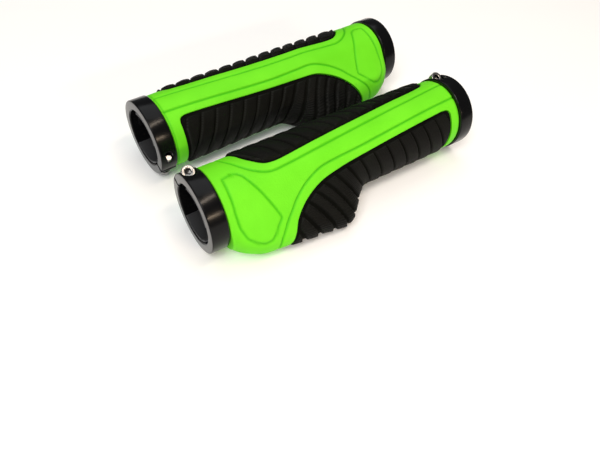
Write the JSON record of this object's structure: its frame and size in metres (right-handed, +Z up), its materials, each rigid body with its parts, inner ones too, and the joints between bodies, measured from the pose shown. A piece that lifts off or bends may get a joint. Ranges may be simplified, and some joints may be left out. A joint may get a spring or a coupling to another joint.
{
  "type": "handlebar grip pair",
  "caption": "Left and right lock-on handlebar grips with a flared palm wing, ribbed soft panels and a split clamp ring at each end.",
  "frame": {"origin": "middle of the footprint of the pair, on the surface it lies on", "axes": "+X along the left grip from its outboard to its inboard end, +Z up, +Y from the left grip towards the right grip; the wings point to -Y"},
  "size_m": [0.139, 0.1062, 0.0342],
  "materials": {
    "green_rubber": "matte, fine grained",
    "black_rubber": "satin, ribbed",
    "black_nylon": "satin",
    "black_anodised": "gloss black anodised",
    "bolt_steel": "bright plated"
  },
  "bodies": {
    "left_grip": {"left_core_sleeve": "black_nylon", "left_rubber_body": "green_rubber", "left_upper_panel": "black_rubber", "left_palm_panel": "black_rubber"},
    "left_outboard_clamp": {"left_outboard_ring": "black_anodised"},
    "left_outboard_screw": {"left_outboard_bolt": "bolt_steel"},
    "left_inboard_clamp": {"left_inboard_ring": "black_anodised"},
    "left_inboard_screw": {"left_inboard_bolt": "bolt_steel"},
    "right_grip": {"right_core_sleeve": "black_nylon", "right_rubber_body": "green_rubber", "right_upper_panel": "black_rubber", "right_palm_panel": "black_rubber"},
    "right_outboard_clamp": {"right_outboard_ring": "black_anodised"},
    "right_outboard_screw": {"right_outboard_bolt": "bolt_steel"},
    "right_inboard_clamp": {"right_inboard_ring": "black_anodised"},
    "right_inboard_screw": {"right_inboard_bolt": "bolt_steel"}
  },
  "joints": [
    {"name": "left_outboard_ring_slide", "type": "slide", "parent": "left_grip", "child": "left_outboard_clamp", "axis": [-1, 0, 0], "range_m": [0, 0.014]},
    {"name": "left_outboard_screw_turn", "type": "hinge", "parent": "left_outboard_clamp", "child": "left_outboard_screw", "pos_m": [-0.06573, -0.01198, 0.02369], "axis": [0, -0.4695, 0.8829], "range_deg": [0, 1080]},
    {"name": "left_inboard_ring_slide", "type": "slide", "parent": "left_grip", "child": "left_inboard_clamp", "axis": [1, 0, 0], "range_m": [0, 0.014]},
    {"name": "left_inboard_screw_turn", "type": "hinge", "parent": "left_inboard_clamp", "child": "left_inboard_screw", "pos_m": [0.06388, -0.01198, 0.02369], "axis": [0, -0.4695, 0.8829], "range_deg": [0, 1080]},
    {"name": "right_outboard_ring_slide", "type": "slide", "parent": "right_grip", "child": "right_outboard_clamp", "axis": [0.9983, 0.0576, 0], "range_m": [0, 0.014]},
    {"name": "right_outboard_screw_turn", "type": "hinge", "parent": "right_outboard_clamp", "child": "right_outboard_screw", "pos_m": [0.06412, 0.04591, 0.00888], "axis": [-0.033, 0.5726, 0.8192], "range_deg": [0, 1080]},
    {"name": "right_inboard_ring_slide", "type": "slide", "parent": "right_grip", "child": "right_inboard_clamp", "axis": [-0.9983, -0.0576, 0], "range_m": [0, 0.014]},
    {"name": "right_inboard_screw_turn", "type": "hinge", "parent": "right_inboard_clamp", "child": "right_inboard_screw", "pos_m": [-0.0639, 0.01482, 0.0095], "axis": [-0.0305, 0.529, -0.848], "range_deg": [0, 1080]},
    {"name": "right_grip_lift", "type": "slide", "parent": "left_grip", "child": "right_grip", "axis": [0, 0, 1], "range_m": [0, 0.06]}
  ]
}
